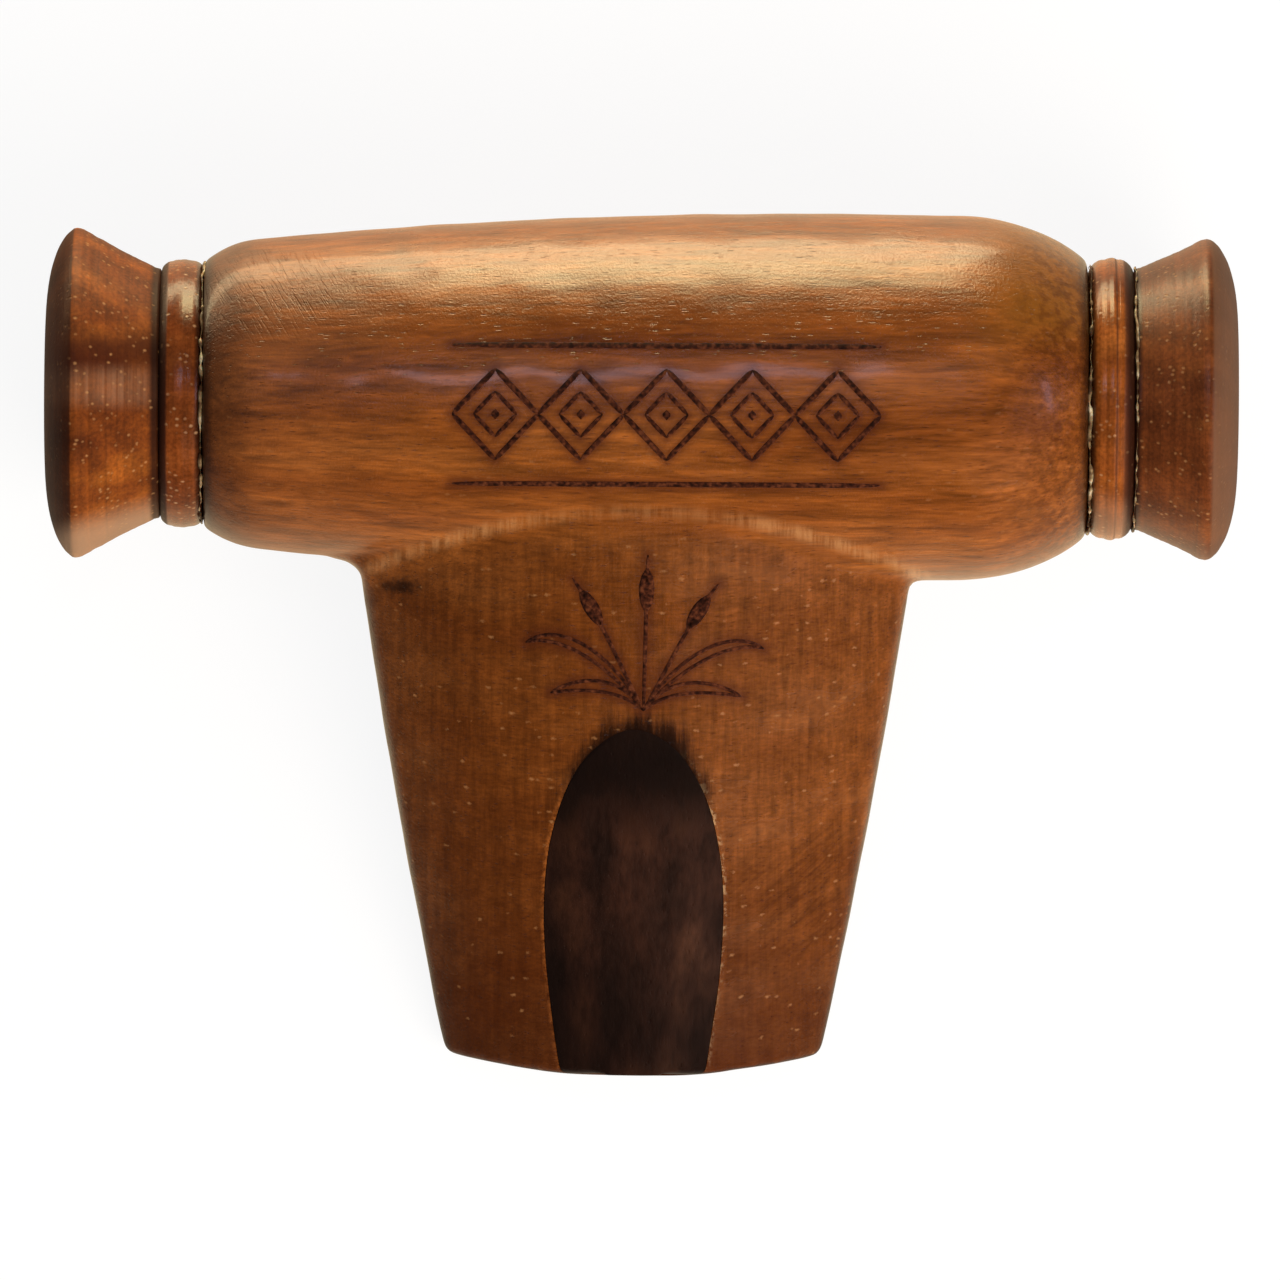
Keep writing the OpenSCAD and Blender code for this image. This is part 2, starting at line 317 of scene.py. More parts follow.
def dense(corners, step):
    """A closed outline with more points put between its corners, at most step mm apart."""
    corners = np.asarray(corners, float)
    following = np.roll(corners, -1, axis=0)
    counts = np.ceil(np.linalg.norm(following - corners, axis=1) / step).astype(int)
    parts = [a + (b - a) * (np.arange(n) / n)[:, None]
             for a, b, n in zip(corners, following, np.maximum(counts, 1))]
    return np.concatenate(parts)


def arc(centre, radius, start, end, steps):
    """Points on an arc: centre + radius (cos a, sin a), with a in degrees."""
    a = np.radians(np.linspace(start, end, steps + 1))
    return np.stack([centre[0] + radius * np.cos(a), centre[1] + radius * np.sin(a)], -1)


def turned(name, profile, ripple, seed):
    """A closed profile of [x, r] in mm turned about the barrel's axis. The tool leaves a
    ripple where the wood shows: r + ripple * w(x), with w made of sines, and the wood has
    dried a little oval: r * (1 + 0.0012 sin(2a + seed))."""
    profile = dense(profile, step=0.3)
    x, r = profile[:, :1], profile[:, 1:]
    angle = np.linspace(0, 2 * math.pi, AROUND, endpoint=False)[None, :]
    showing = np.clip((r - TENON_R) / 1.5, 0, 1)
    marks = waves(seed, count=20, longest=9.0)(x[:, 0])[:, None]
    radius = r * (1 + 0.0012 * showing * np.sin(2 * angle + seed)) + ripple * showing * marks
    points = np.stack([BARREL_X + x + 0 * angle, AXIS_Y + radius * np.cos(angle),
                       AXIS_Z + radius * np.sin(angle)], -1)
    faces = grid_faces(len(profile), AROUND, closed_rows=True)
    return surface_mesh(name, points, faces.tolist())


def rod(name, start, end, radius, sides=144):
    """A closed round rod between two points in mm: start + (end - start) t, with a circle of
    the radius round it, and an end cap at each end."""
    start, end = np.asarray(start, float), np.asarray(end, float)
    way = (end - start) / np.linalg.norm(end - start)
    first = np.cross(way, (0.0, 0.0, 1.0))
    first /= np.linalg.norm(first)
    second = np.cross(way, first)
    a = np.linspace(0, 2 * math.pi, sides, endpoint=False)[:, None]
    circle = radius * (np.cos(a) * first + np.sin(a) * second)
    return surface_mesh(name, np.concatenate([start + circle, end + circle]),
                        capped_faces(2, sides))


def barrel_rod(name, low, high, radius):
    """A rod along the barrel's axis, from low to high along X."""
    return rod(name, (low, AXIS_Y, AXIS_Z), (high, AXIS_Y, AXIS_Z), radius)


def stem_rod(name, radius):
    """A rod along the block's axis, from the airway's mouth to past the tip."""
    return rod(name, (STEM_X, MOUTH_Y, PLUG_Z), (STEM_X, -PAST_ALL, PLUG_Z), radius)


def prism(name, outline, low, high):
    """A closed prism: an outline of [y, z] in mm, from low to high along X."""
    outline = np.asarray(outline, float)
    points = np.concatenate([np.insert(outline, 0, x, axis=1) for x in (low, high)])
    return surface_mesh(name, points, capped_faces(2, len(outline)))


def bevel_face(x, y):
    """Height of the bevelled face: along the stem a cubic from the ridge to the tip, with the
    same slope at both ends, and across it a circle of FACE_CROWN_R at the ridge."""
    t = np.clip((RIDGE_Y - y) / (RIDGE_Y - TIP_Y), 0, 1)
    middle = (RIDGE_Z - BEVEL_DROP * (3 * t ** 2 - 2 * t ** 3)
              - BEVEL_SLOPE * (RIDGE_Y - TIP_Y) * (2 * t ** 3 - 3 * t ** 2 + t))
    crown = middle - RIDGE_Z + FACE_CROWN_R
    return RIDGE_Z - FACE_CROWN_R + np.sqrt(crown ** 2 - (x - STEM_X) ** 2)


def bore_filling(name):
    """What fills the hole in the stem: a rod 0.1 mm wider than the bore, from 0.5 mm short of
    the airway's mouth to the tip's arc, x and z going round a circle and y along t, with
    everything above the bevelled face pressed down to it."""
    rows, columns, start, radius = 160, 120, MOUTH_Y - 0.5, BORE_R + 0.1
    a = np.linspace(0, 2 * math.pi, columns, endpoint=False)[None, :]
    t = np.linspace(0, 1, rows)[:, None]
    x = STEM_X + radius * np.cos(a) + 0 * t
    tip = TIP_Y + TIP_CURVE_R - np.sqrt(TIP_CURVE_R ** 2 - (x - STEM_X) ** 2) + 0.02
    y = start + (tip - start) * t
    z = np.minimum(PLUG_Z + radius * np.sin(a), bevel_face(x, y) - 0.01)
    return surface_mesh(name, np.stack([x, y, z], -1), capped_faces(rows, columns))


def window_filling(name):
    """What fills the sound window: a prism under the barrel, whose lower side follows the
    flat back and then the barrel's circle."""
    near, far, top, half = MOUTH_Y - 1, 30.0, 9.0, 5.1
    y = np.linspace(near, far, 40)
    under = np.maximum(0.0, AXIS_Z - np.sqrt(BARREL_R ** 2 - (y - AXIS_Y) ** 2)) + 0.01
    outline = np.concatenate([np.stack([y, under], -1), [[far, top], [near, top]]])
    return prism(name, outline, STEM_X - half, STEM_X + half)


def hand_worked(mesh):
    """Moves each point along its normal by 0.035 mm times a product of slow sines of its
    place, 8 to 15 mm long, as hand sanding leaves a surface."""
    points = points_of(mesh)
    normals = np.empty(len(points) * 3, np.float32)
    mesh.vertices.foreach_get("normal", normals)
    x, y, z = points.T
    lumps = (np.sin(0.62 * x + 0.31 * y + 0.7) * np.sin(0.55 * y - 0.42 * z)
             + 0.6 * np.sin(0.93 * x - 0.5 * z + 2.1) * np.sin(0.8 * y + 0.2 * x))
    lumps *= np.clip(z / 1.5, 0, 1)
    moved = points + 0.035 * lumps[:, None] * normals.reshape(-1, 3)
    mesh.vertices.foreach_set("co", (moved * MM).astype(np.float32).ravel())
    mesh.update()


def bead_profile(end):
    """A bead ring's section in [x, r]: a flat band with both corners rounded, and its middle
    0.12 mm proud."""
    a, b, radius, edge = BARREL_HALF, BARREL_HALF + end.ring_width, end.ring_r, end.ring_edge
    top = np.linspace(0, 1, 9)[1:-1]
    crown = np.stack([b - edge - (b - a - 2 * edge) * top,
                      radius + 0.12 * np.sin(math.pi * top)], -1)
    outline = np.concatenate([
        [[a, CHAMBER_R], [b, CHAMBER_R]],
        arc((b - edge, radius - edge), edge, 0, 90, 7), crown,
        arc((a + edge, radius - edge), edge, 90, 180, 7)])
    return outline * [end.side, 1]


def bell_profile(end):
    """An end bell's section in [x, r]: tenon, neck groove, cone with a slightly hollow flare,
    rounded rim, domed face, and tone hole with an eased mouth."""
    neck_width, rim_round, dome_len, flat_r, ease = 0.5, 0.45, 2.5, 6.0, 0.8
    chamfer, lap, undercut = 0.8, 0.1, 0.5
    tenon_end = BARREL_HALF - TENON_DEPTH
    ring_end = BARREL_HALF + end.ring_width
    neck = ring_end + neck_width
    rim = neck + end.cone_len
    t = np.linspace(0, 1, 12)
    flare_rise = end.rim_r - rim_round * 0.3 - end.neck_r
    flare = np.stack([neck + (end.cone_len - rim_round) * t,
                      end.neck_r + flare_rise * (t - 0.10 * t * (1 - t))], -1)
    a = np.radians(np.linspace(0, 90, 19))
    dome = np.stack([rim + dome_len * np.sin(a) ** 1.15,
                     flat_r + (end.rim_r - flat_r) * np.cos(a) ** 0.92], -1)
    mouth = arc((rim + dome_len - ease, TONE_HOLE_R + ease), ease, 0, -90, 6)
    tenon = [[tenon_end, TONE_HOLE_R], [tenon_end, TENON_R - chamfer],
             [tenon_end + chamfer, TENON_R], [ring_end - lap, TENON_R],
             [ring_end - lap, end.neck_r - undercut], [ring_end + lap, end.neck_r - lap]]
    return np.concatenate([tenon, flare, dome, mouth]) * [end.side, 1]


def glue_line(name, x, radius, thickness, seed):
    """Remains of glue round a joint: a ring of small round section whose size follows a
    random wave, thickness * (0.35 + 0.9 w(a)) kept between 0.12 and 1 of the thickness, so
    that it comes and goes."""
    steps, sides = 540, 8
    angle = np.linspace(0, 2 * math.pi, steps, endpoint=False)
    w = waves(seed, count=90, longest=2 * math.pi)(angle)
    size = thickness * np.clip(0.35 + 0.9 * w, 0.12, 1)
    around = np.linspace(0, 2 * math.pi, sides, endpoint=False)
    r = radius + size[:, None] * (np.sin(around) - 0.35)[None, :]
    shift = 0.08 * waves(seed + 1, count=40, longest=2 * math.pi)(angle)
    xs = x + shift[:, None] + 0.55 * size[:, None] * np.cos(around)[None, :]
    points = np.stack([BARREL_X + xs, AXIS_Y + r * np.cos(angle)[:, None],
                       AXIS_Z + r * np.sin(angle)[:, None]], -1)
    return surface_mesh(name, points, grid_faces(steps, sides, closed_rows=True).tolist())


def cork_ball(name, centre, radius):
    """A ball of cork: radius * (1 - 0.012 * c) in every direction, where c is a product of
    sines of the direction, with the poles closed by a fan."""
    rows, columns = 64, 96
    polar = np.linspace(0, math.pi, rows + 2)[1:-1, None]
    angle = np.linspace(0, 2 * math.pi, columns, endpoint=False)[None, :]
    way = np.stack([np.sin(polar) * np.cos(angle), np.sin(polar) * np.sin(angle),
                    np.cos(polar) + 0 * angle], -1)
    lumps = np.sin(23 * way[..., 0] + 1) * np.sin(29 * way[..., 1]) * np.sin(26 * way[..., 2])
    points = np.array(centre) + way * (radius * (1 - 0.012 * np.abs(lumps)))[..., None]
    poles = np.array(centre) + np.array([[0, 0, radius * 0.995], [0, 0, -radius * 0.995]])
    count = rows * columns
    last = count - columns
    faces = grid_faces(rows, columns).tolist()
    faces += [[count, j, (j + 1) % columns] for j in range(columns)]
    faces += [[count + 1, last + (j + 1) % columns, last + j] for j in range(columns)]
    return surface_mesh(name, np.concatenate([points.reshape(-1, 3), poles]), faces)


# Woods and the rest of the finishes. Scales are in waves or cells a metre along X, Y and Z, and
# distances in metres.

def away_from(tree, value, centre):
    """How far a value is from its centre, to either side."""
    return maths(tree, "ABSOLUTE", maths(tree, "SUBTRACT", value, centre))


def stretched_noise(tree, place, scale, detail=2.0, roughness=0.5, distortion=0.0, turn=0.0):
    """Noise drawn out along the grain, after a turn about Z in degrees."""
    if turn:
        place = put(tree, "ShaderNodeMapping", {
            "Vector": place, "Rotation": (0.0, 0.0, math.radians(turn))})
    stretched = put(tree, "ShaderNodeMapping", {"Vector": place, "Scale": scale})
    return noise(tree, stretched, 1.0, detail, roughness, distortion)


def pores_of(tree, place, scale, inner, outer, full=1.0, dice=0, limit=0.0, torn=None, tear=0.0):
    """Pores of wood, one in each cell: full within the inner distance of its middle and nothing
    beyond the outer one. torn is a noise that tears the edge, by tear times itself. A cell has
    its pore if its dice, one of three, is above the limit."""
    stretched = put(tree, "ShaderNodeMapping", {"Vector": place, "Scale": scale})
    cells = put(tree, "ShaderNodeTexVoronoi", {"Vector": stretched, "Scale": 1.0})
    distance = maths(tree, "MULTIPLY_ADD", torn, tear, cells) if torn else cells
    shape = ramp(tree, distance, inner, outer, full, 0.0)
    throws = put(tree, "ShaderNodeSeparateColor", {"Color": cells.outputs["Color"]})
    kept = maths(tree, "GREATER_THAN", throws.outputs[dice], limit)
    return product(tree, shape, kept)


def embossed(tree, marks):
    """A surface with marks in it, given as pairs of a pattern and its height in millimetres."""
    height = 0.0
    for pattern, depth in marks:
        height = maths(tree, "MULTIPLY_ADD", pattern, depth, height)
    return put(tree, "ShaderNodeBump", {"Height": height, "Strength": 1.0, "Distance": MM})


def finished(material, tree, colour, roughness, ior, normal=None, **others):
    """The material with its shader, and whatever else the shader is to be told."""
    settings = {"Base Color": colour, "Roughness": roughness, "IOR": ior, **others}
    if normal:
        settings["Normal"] = normal
    shader = put(tree, "ShaderNodeBsdfPrincipled", settings)
    put(tree, "ShaderNodeOutputMaterial", {"Surface": shader})
    return material


def mahogany_surface():
    """What all of the body's finish is worked out from: the place, whether it is on the stem,
    and the noises of the wood."""
    material, tree, place = new_material("oiled_mahogany")
    x, y, z = xyz_of(tree, place)
    # The crease between barrel and bevelled face is a low arch: y + 9.9 x^2 = 0.0102 m.
    arch = maths(tree, "MULTIPLY_ADD", product(tree, x, x), 9.9, y)
    bore = vectors(tree, "SUBTRACT", place, (STEM_X * MM, 0.0, PLUG_Z * MM))
    bore_across = vectors(tree, "MULTIPLY", bore, (1, 0, 1))
    return SimpleNamespace(
        material=material, tree=tree, place=place, x=x, y=y, z=z, arch=arch,
        on_stem=eased(tree, arch, 0.0078, 0.0102, 1.0, 0.0),
        from_bore=vectors(tree, "LENGTH", bore_across),
        # Fibres 0.25 mm wide and 2.5 mm long.
        fibres=stretched_noise(tree, place, (400, 4000, 4000), 3.0, 0.6),
        # Streaks 0.8 mm wide and 7 mm long, a little wavy.
        streaks=stretched_noise(tree, place, (140, 1250, 1250), 3.0, 0.6, 0.4),
        # Drifts of tone, 5 mm wide and 20 mm long.
        drift=stretched_noise(tree, place, (50, 210, 210), 3.0, 0.55),
        # Marks of the saw and the file down the stem, 0.7 mm apart and 9 to 15 mm long.
        filing=stretched_noise(tree, place, (1500, 110, 65), 4.0, 0.7),
        # Specks and crumbs 0.7 mm across.
        specks=noise(tree, place, 1500.0, 3.0, 0.7))


def mahogany_grain(wood):
    """Red-brown wood with its figure: fibres all over, streaks along the barrel, and on the
    stem, which is cut across curly grain, file marks and blotches 1.5 mm across."""
    tree, place = wood.tree, wood.place
    curly = noise(tree, place, 700.0, 6.0, 0.72)
    # Beside the block, near the tip, a coarse file has left marks at a slant, 0.6 mm apart and
    # 4 mm long.
    rasped = stretched_noise(tree, place, (230, 1700, 230), 3.0, 0.6, 0.5, turn=-41)
    from_rasped = vectors(tree, "DISTANCE", place, (0.0145, -0.0205, 0.0095))
    rasp_share = eased(tree, from_rasped, 0.003, 0.0095, 1.0, 0.0)
    fibre_tone, streak_tone, filing_tone, blotch_tone, rasp_tone = (
        ramp(tree, pattern, 0.5 - reach, 0.5 + reach, darkest, lightest)
        for pattern, reach, darkest, lightest in (
            (wood.fibres, 0.20, 0.78, 1.24), (wood.streaks, 0.22, 0.56, 1.42),
            (wood.filing, 0.14, 0.74, 1.18), (curly, 0.14, 0.78, 1.22),
            (rasped, 0.12, 0.72, 1.25)))
    stem_tone = product(tree, filing_tone, between(tree, rasp_share, blotch_tone, rasp_tone))
    figure_tone = between(tree, wood.on_stem, streak_tone, stem_tone)
    # The right half of the barrel is a little lighter: partly the wood's tone, partly painted
    # light from the main light on the right.
    lighter = eased(tree, wood.x, -0.010, 0.026, 1.0, 1.06)
    half_tone = between(tree, wood.on_stem, lighter, 1.0)
    grain = product(tree, figure_tone, half_tone, fibre_tone)
    return shaded(tree, wood.drift,
                  [(0.32, "#6f3911"), (0.50, "#7c4213"), (0.68, "#8c4e1a")], grain)


def mahogany_dust(wood):
    """Pores full of pale dust: ragged flecks 0.4 mm long, more of them to the right. The barrel
    has been wiped cleaner than the stem."""
    tree, place = wood.tree, wood.place
    limit = ramp(tree, wood.x, -0.030, 0.030, 0.84, 0.58)
    flecks = pores_of(tree, place, (800, 1500, 1500), 0.28, 0.50, full=0.46, dice=1,
                      limit=limit, torn=noise(tree, place, 4000.0), tear=0.5)
    return product(tree, flecks, ramp(tree, wood.on_stem, 0.0, 1.0, 0.35, 1.0))


def oil_and_painted_light_in_mahogany(wood):
    """Where oil has gone in deeper, plus painted shade and a painted warm reflection, as layers
    of a share and a colour.
    """
    tree, x = wood.tree, wood.x
    # Oil has gone deeper in the last 5 mm at the left end. The upper side of the right shoulder
    # has a painted warm reflection, yellow-brown.
    soaked = eased(tree, x, -0.0345, -0.0285, 0.55, 0.0)
    painted_warm_reflection = product(tree, eased(tree, x, 0.0245, 0.0320, 0.0, 0.60),
                     eased(tree, wood.y, 0.0225, 0.0275, 0.0, 1.0))
    # The end grain of that shoulder drank oil in dark spots 0.7 mm across.
    spots = noise(tree, wood.place, 1300.0, 3.0, 0.6)
    mottled = product(tree, ramp(tree, spots, 0.42, 0.60, 0.25, 1.0),
                      eased(tree, x, 0.0270, 0.0335, 0.0, 0.62))
    # Painted shade over the stem, darkest on its left, which the main light on the right reaches
    # least.
    painted_stem_shade = product(tree, eased(tree, x, -0.018, 0.010, 0.47, 0.33), wood.on_stem)
    return [(soaked, "#3f1d0a"), (painted_warm_reflection, "#96601c"), (mottled, "#4a2209"),
            (painted_stem_shade, "#341404")]


def crease_highlight_and_wear(wood):
    """Along the crease the barrel's edge is paler: a painted highlight on the crest, together
    with wood abraded pale, hatched across by the file, and least so in the middle. The back has
    no crease."""
    tree = wood.tree
    off_middle = maths(tree, "ABSOLUTE", wood.x)
    # The painted highlight and the abraded wood, in one share.
    share = product(tree, ramp(tree, wood.filing, 0.40, 0.60, 0.10, 0.62),
                    eased(tree, off_middle, 0.006, 0.012, 0.40, 1.0),
                    ramp(tree, wood.z, 0.0145, 0.0168),
                    eased(tree, away_from(tree, wood.arch, 0.0106), 0.0, 0.00095, 1.15, 0.0))
    return [(share, "#b47c4a")]


def char_above_block(wood):
    """Above the top of the block the wood is browned by heat, 3 mm wide, with an edge that the
    file marks tear."""
    tree = wood.tree
    from_top = vectors(tree, "DISTANCE", wood.place, (0.0010, -0.0088, 0.0172))
    torn = maths(tree, "MULTIPLY_ADD", wood.filing, 0.0030, from_top)
    return [(eased(tree, torn, 0.0034, 0.0054, 0.70, 0.0), "#2a130a")]


def joint_round_block(wood):
    """In the joint round the block, 0.25 mm wide, sit specks of glue on the right, and on the
    left the wood is bare and orange in patches."""
    tree = wood.tree
    round_bore = ramp(tree, wood.from_bore, 0.00728, 0.00755, 1.0, 0.0)
    at_joint = product(tree, round_bore, wood.on_stem)
    glued = product(tree, at_joint, ramp(tree, wood.x, 0.003, 0.005),
                    ramp(tree, wood.specks, 0.50, 0.58, 0.0, 0.7))
    bare = product(tree, at_joint, ramp(tree, wood.x, -0.0040, -0.0055, 0.0, 0.8),
                   ramp(tree, wood.specks, 0.40, 0.60))
    return [(glued, "#b58f64"), (bare, "#a85f26")]


def black_char_and_root_shade(wood):
    """Black char follows the block's upper edge, and the same black is painted as shade in a
    spot at the left root of the stem, below the crease."""
    tree = wood.tree
    cap_edge = maths(tree, "MULTIPLY_ADD", wood.filing, 0.0016, wood.from_bore)
    cap = product(tree, eased(tree, cap_edge, 0.0079, 0.0089, 0.92, 0.0),
                  eased(tree, wood.y, -0.0145, -0.0105, 0.0, 1.0), wood.on_stem)
    # Painted shade: a dark spot at the left root of the stem, below the crease.
    from_root = vectors(tree, "SUBTRACT", wood.place, (-0.0192, 0.0046, 0.0176))
    drawn_out = vectors(tree, "MULTIPLY", from_root, (0.30, 1.0, 0.15))
    root_shade_edge = maths(tree, "MULTIPLY_ADD", wood.specks, 0.0010,
                       vectors(tree, "LENGTH", drawn_out))
    painted_root_shade = eased(tree, root_shade_edge, 0.0007, 0.0013, 0.75, 0.0)
    return [(maths(tree, "MAXIMUM", cap, painted_root_shade), "#150a06")]


def wear_and_shade_of_body(wood, dust):
    """What time has left, and painted shade: painted shade darkening the beak over its last 20
    mm, the dust in the pores, painted shade on the steep sides of the stem, grime and painted
    shade at the barrel's two end faces, and wood browned by the burning tool beside each line."""
    tree = wood.tree
    # Painted shade: the beak darker over its last 20 mm, where the bevel turns away from the
    # light.
    painted_tip_shade = eased(tree, wood.y, -0.036, -0.010, 0.68, 0.0)
    # Painted shade on the stem's steep sides, which face away from the light.
    facing = put(tree, "ShaderNodeNewGeometry").outputs["Normal"]
    sideways = eased(tree, xyz_of(tree, facing)["Z"], 0.20, 0.60, 0.85, 0.0)
    painted_side_shade = product(tree, sideways, wood.on_stem)
    # Grime and painted shade at the barrel's two end faces, in the corners of the joints.
    grime_and_shade_at_ends = eased(tree, away_from(tree, wood.x, BARREL_X * MM), 0.0342, 0.0351, 0.0, 0.80)
    scorch = put(tree, "ShaderNodeAttribute", attribute_name="scorch").outputs["Fac"]
    return [(painted_tip_shade, "#3b1606"), (dust, "#b07c4c"), (painted_side_shade, "#2a1006"), (grime_and_shade_at_ends, "#1f0f07"),
            (scorch, "#4a2110")]


def shoulder_scratches(wood):
    """Scratches from coarse paper, 0.2 mm wide and 2 mm long, on the left shoulder."""
    tree, place = wood.tree, wood.place
    pattern = stretched_noise(tree, place, (420, 4200, 400), turn=58)
    from_shoulder = vectors(tree, "DISTANCE", place, (-0.0292, 0.0300, 0.0228))
    return product(tree, ramp(tree, pattern, 0.54, 0.68),
                   eased(tree, from_shoulder, 0.003, 0.0075, 1.0, 0.03))


def oiled_mahogany():
    """Mahogany, sanded and oiled by hand: red-brown with fibres and darker streaks along the
    barrel, saw marks down the stem, pores that are dark or hold pale dust, darker oil at the
    left end, painted shade down the stem and on its steep sides, a painted highlight along the
    crease, and scratches that glint on the left shoulder."""
    wood = mahogany_surface()
    tree = wood.tree
    # Dark pores 0.2 mm wide and 1.2 mm long, of which two in five are open.
    pores = pores_of(tree, wood.place, (800, 4600, 4600), 0.10, 0.30, limit=0.60)
    dust = mahogany_dust(wood)
    colour = painted(tree, mahogany_grain(wood), [
        (product(tree, pores, 0.45), "#3a1707"), *oil_and_painted_light_in_mahogany(wood), *crease_highlight_and_wear(wood),
        *char_above_block(wood), *joint_round_block(wood), *black_char_and_root_shade(wood),
        *wear_and_shade_of_body(wood, dust)])
    # Dimples of the open grain, 0.2 mm across, break up every highlight.
    dimples = noise(tree, wood.place, 4600.0, 3.0, 0.6)
    relief = embossed(tree, [(wood.fibres, 0.026), (dimples, 0.052), (pores, -0.026),
                             (dust, -0.010), (shoulder_scratches(wood), -0.05)])
    # The left shoulder is duller, worn by the hand that holds it.
    roughness = maths(tree, "ADD", ramp(tree, wood.drift, 0.3, 0.7, 0.20, 0.30),
                      eased(tree, wood.x, -0.030, -0.014, 0.16, 0.0))
    return finished(wood.material, tree, colour, roughness, 1.5, relief,
                    **{"Coat Weight": 0.25, "Coat Roughness": 0.12})


def dark_walnut():
    """Black walnut end block, filed flush and oiled: nearly black brown, with reddish fibres
    down the stem and a few pores that catch the light."""
    material, tree, place = new_material("oiled_dark_walnut")
    x, y = xyz_of(tree, place)[:2]
    # Fibres 0.4 mm wide and 9 mm long down the stem, and drifts of tone 4 mm by 11 mm.
    fibres = stretched_noise(tree, place, (2400, 110, 2400), 4.0, 0.6)
    drift = stretched_noise(tree, place, (260, 90, 260))
    # Pores 0.25 mm across, cut at a slant by the bevel.
    pores = pores_of(tree, place, (1500, 900, 900), 0.06, 0.18)
    wood = shaded(tree, drift, [(0.34, "#1c0f0a"), (0.52, "#2e180f"), (0.70, "#422414")],
                  ramp(tree, fibres, 0.3, 0.7, 0.70, 1.35))
    # It is charred at the top of the arch, with a torn edge, and darker towards the tip and the
    # left.
    ragged = maths(tree, "MULTIPLY_ADD", drift, 0.0120, y)
    torn = maths(tree, "MULTIPLY_ADD", fibres, 0.0050, ragged)
    black = "#0f0806"
    colour = painted(tree, wood, [(eased(tree, torn, -0.0065, -0.0020, 0.0, 0.88), black),
                                  (eased(tree, y, -0.034, -0.019, 0.55, 0.0), black),
                                  (eased(tree, x, -0.0070, -0.0020, 0.50, 0.0), black)])
    relief = embossed(tree, [(fibres, 0.03), (pores, -0.02)])
    return finished(material, tree, colour, 0.36, 1.5, relief)


def turned_rosewood(name, tones, speck, end_grain, sheen, gloss, lower_reflection=0.0, heart=0.0,
                    painted_sheen_share=0.0):
    """Rosewood turned on a lathe and oiled: redder than the body, with fine tool lines round it
    and rows of open pores that hold pale dust and glint. sheen is its roughness, gloss the IOR
    of its oil, and the last three say how strong a painted pale reflection on its lower side is,
    how dark the streak of heartwood above its middle is, and how strong a painted sheen across
    its middle is."""
    material, tree, place = new_material("turned_rosewood_" + name)
    x, y = xyz_of(tree, place)[:2]
    # Drifts of tone, 4 mm by 11 mm.
    drift = stretched_noise(tree, place, (90, 260, 260), 4.0, 0.6)
    # Tool lines 0.35 mm apart: they change along the axis only.
    lines = stretched_noise(tree, place, (2900, 14, 14))
    # Growth layers 3 mm apart, which hold the rows of pores.
    layer_at = put(tree, "ShaderNodeMapping", {
        "Vector": place, "Location": (0.0, -0.048, -0.002), "Rotation": (0.0, 0.35, 0.25)})
    layers = put(tree, "ShaderNodeTexWave", {
        "Vector": layer_at, "Scale": 105.0, "Distortion": 2.5, "Detail": 1.0},
        wave_type="RINGS", rings_direction="X").outputs["Fac"]
    # Pores 0.2 mm wide and ragged, 0.5 to 0.7 mm apart, of which three in four are open.
    scuffs = noise(tree, place, 3500.0)
    dots = pores_of(tree, place, (1500, 1900, 1900), 0.22, 0.46, limit=0.25, torn=scuffs,
                    tear=0.30)
    pores = product(tree, dots, ramp(tree, layers, 0.15, 0.50))
    # Layers, tool lines and scuffs 0.3 mm across each change the tone.
    grain = product(tree, ramp(tree, layers, 0.0, 1.0, 1.10, 0.84),
                    ramp(tree, lines, 0.3, 0.7, 0.80, 1.20),
                    ramp(tree, scuffs, 0.3, 0.7, 0.76, 1.26))
    wood = shaded(tree, drift, list(zip((0.32, 0.52, 0.70), tones)), grain)

    # The faces that look away from the barrel are end grain: darker, duller, and with less of
    # the pale dust and of the painted sheen.
    facing = put(tree, "ShaderNodeNewGeometry").outputs["Normal"]
    outward = product(tree, xyz_of(tree, facing)["X"], maths(tree, "SIGN", x))
    across_grain = eased(tree, outward, 0.22, 0.50, 0.0, 0.80)
    dull = ramp(tree, across_grain, 0.0, 0.8, sheen, 0.50)
    dust_share = ramp(tree, across_grain, 0.0, 0.8, 0.44, 0.10)
    # Wax and grime, and painted shade, darken the corners at both joints.
    along = away_from(tree, x, BARREL_X * MM)
    corner_gap = maths(tree, "MINIMUM", away_from(tree, along, 0.0353),
                       away_from(tree, along, 0.0389))
    corner_grime_and_shade = eased(tree, corner_gap, 0.00030, 0.00075, 0.85, 0.0)
    # The heart is a streak 3 mm wide, 3 mm above the axis. A painted sheen lies on the crests of
    # the tool lines in a band 3 mm wide across the middle, and a painted pale reflection on all
    # of the lower side.
    heartwood = eased(tree, away_from(tree, y, 0.0230), 0.0004, 0.0026, heart, 0.0)
    band = eased(tree, away_from(tree, y, 0.0203), 0.0006, 0.0022, painted_sheen_share, 0.0)
    painted_sheen = product(tree, band, dust_share, ramp(tree, lines, 0.40, 0.60, 0.45, 1.0))
    # Painted reflection of the pale floor on the lower side.
    slant = maths(tree, "MULTIPLY_ADD", along, 0.3, y)
    painted_lower_reflection = eased(tree, slant, 0.0217, 0.0240, lower_reflection, 0.0)
    colour = painted(tree, wood, [(across_grain, end_grain), (heartwood, "#3a1405"),
                                  (painted_sheen, "#a98468"), (painted_lower_reflection, "#b08c6c"),
                                  (corner_grime_and_shade, "#241008"),
                                  (product(tree, pores, dust_share), speck)])
    relief = embossed(tree, [(lines, 0.032), (scuffs, 0.018), (pores, -0.02)])
    return finished(material, tree, colour, dull, gloss, relief)


